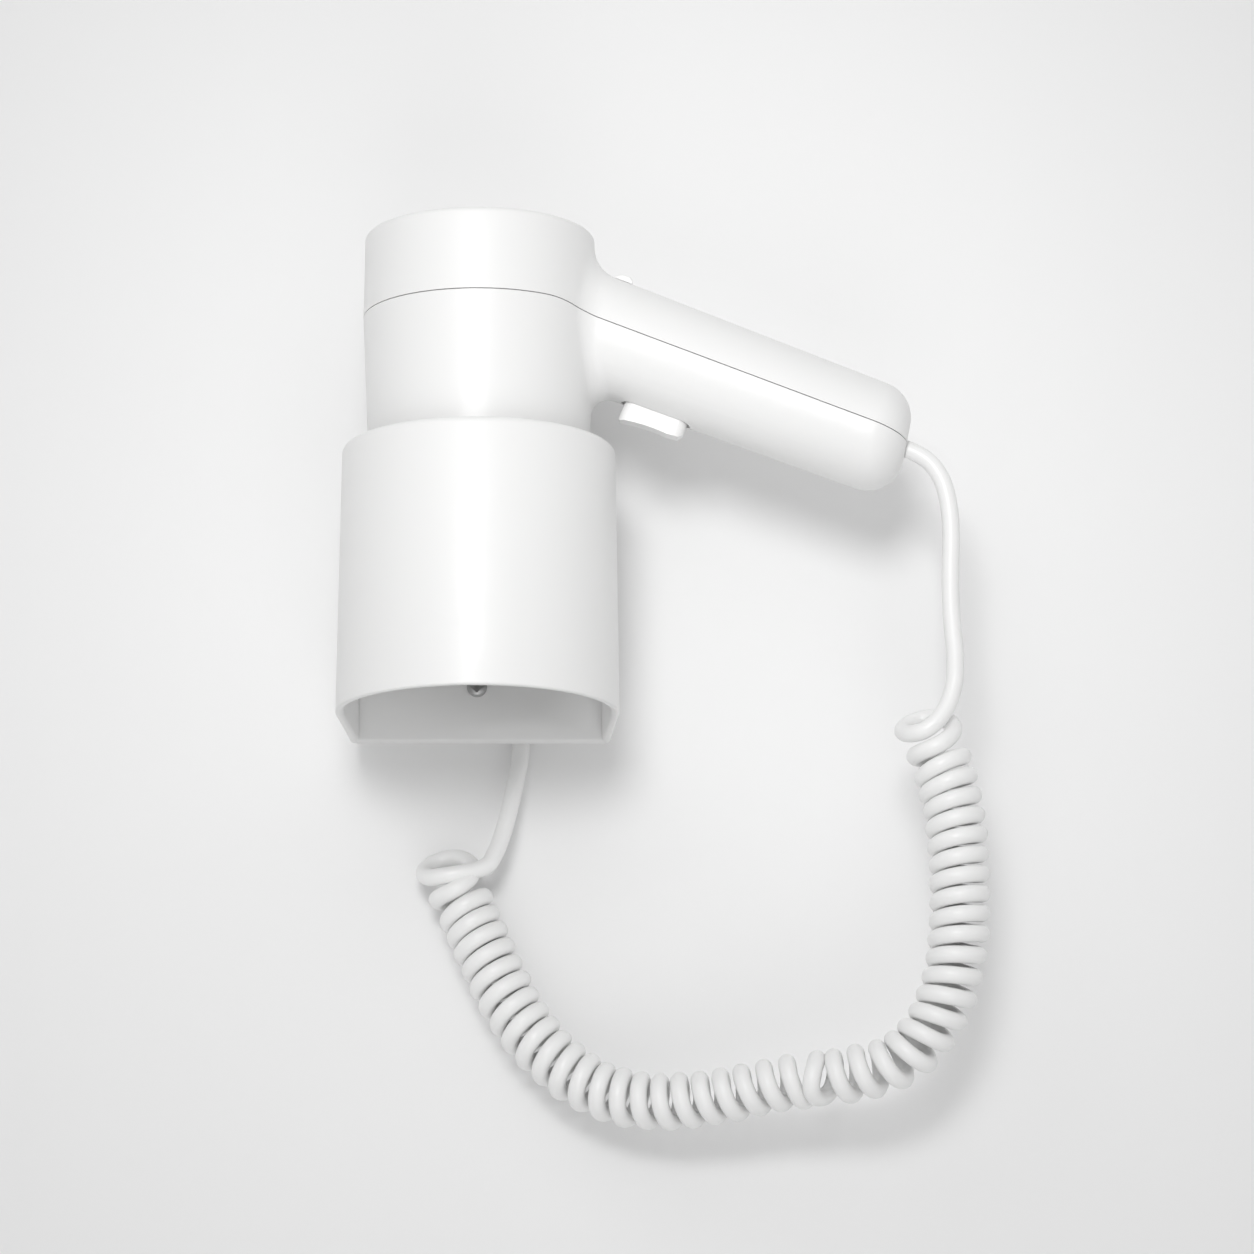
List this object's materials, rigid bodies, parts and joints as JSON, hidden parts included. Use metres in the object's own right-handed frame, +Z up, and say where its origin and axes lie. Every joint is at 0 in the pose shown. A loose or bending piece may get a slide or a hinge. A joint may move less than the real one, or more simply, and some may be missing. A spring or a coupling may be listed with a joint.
{
  "type": "wall-mounted hair dryer",
  "caption": "White hotel hair dryer resting nose-down in an open D-shaped wall holster, with trigger, heat slide, fan and motor inside and a hanging curly cord to the wall plate.",
  "frame": {"origin": "centre of the four wall screw holes, on the wall's surface (the back face of the wall plate)", "axes": "+X to the right as one faces the wall, along the handle's lean; +Y into the wall; +Z up, along the barrel's axis"},
  "size_m": [0.2221, 0.1103, 0.3074],
  "materials": {
    "shell_plastic": "satin injection-moulded white ABS",
    "holster_plastic": "satin injection-moulded white ABS",
    "control_plastic": "satin white ABS",
    "inner_plastic": "matte light grey ABS",
    "grille_plastic": "satin white ABS",
    "filter_mesh": "fine dark grey moulded mesh",
    "dark_plastic": "matte black glass-filled plastic",
    "mica_board": "mica board",
    "heater_wire": "heat-tinted resistance wire",
    "shield_metal": "bright sheet steel",
    "steel": "zinc-plated steel",
    "laminations": "dark laminated steel",
    "magnet": "dark ferrite",
    "copper": "bare copper",
    "circuit_board": "green circuit board",
    "wire_sheath": "coloured wire sheath",
    "cord_sheath": "soft white cord sheath",
    "bush_rubber": "soft white rubber"
  },
  "bodies": {
    "holster": {"wall_plate": "inner_plastic", "holster_shell": "holster_plastic", "holster_seat": "inner_plastic", "holster_screws": "steel", "terminal_block": "inner_plastic", "terminal_screws": "steel", "wall_cord_clamp": "inner_plastic", "wall_clamp_screws": "steel", "wall_cord_bush": "bush_rubber", "wall_flex_end": "cord_sheath", "cord_handle_tail": "cord_sheath", "cord_coil": "cord_sheath", "cord_holster_tail": "cord_sheath"},
    "dryer": {"rear_housing": "shell_plastic", "front_housing": "shell_plastic", "inlet_grille": "grille_plastic", "dust_filter": "filter_mesh", "outlet_grille": "dark_plastic", "heat_shield": "shield_metal", "heater_frame": "mica_board", "heater_wire": "heater_wire", "thermostat": "dark_plastic", "thermal_fuse": "steel", "motor_bracket": "dark_plastic", "motor_can": "steel", "motor_end_cap": "dark_plastic", "motor_magnets": "magnet", "rectifier_board": "circuit_board", "trigger_switch": "dark_plastic", "trigger_spring": "steel", "heat_switch": "dark_plastic", "handle_flex_end": "cord_sheath", "handle_cord_bush": "bush_rubber", "handle_cord_clamp": "inner_plastic", "handle_clamp_screws": "steel", "housing_screws": "steel", "lead_wires": "wire_sheath"},
    "rotor": {"rotor_shaft": "steel", "fan": "dark_plastic", "armature": "laminations", "commutator": "copper"},
    "trigger": {"trigger": "control_plastic"},
    "heat_knob": {"heat_knob": "control_plastic"}
  },
  "joints": [
    {"name": "dock_lift", "type": "slide", "parent": "holster", "child": "dryer", "axis": [0, 0, 1], "range_m": [0, 0.075], "deforming": ["cord_handle_tail", "cord_coil", "cord_holster_tail"]},
    {"name": "fan_spin", "type": "hinge", "parent": "dryer", "child": "rotor", "pos_m": [0, -0.062, 0.1], "axis": [0, 0, 1], "continuous": true},
    {"name": "trigger_press", "type": "slide", "parent": "dryer", "child": "trigger", "axis": [0.3616, 0, 0.9323], "range_m": [0, 0.0025], "stiffness_N_per_m": 800, "springref_m": -0.003, "deforming": ["trigger_spring"]},
    {"name": "heat_select", "type": "slide", "parent": "dryer", "child": "heat_knob", "axis": [0.9323, 0, -0.3616], "range_m": [0, 0.005]}
  ]
}
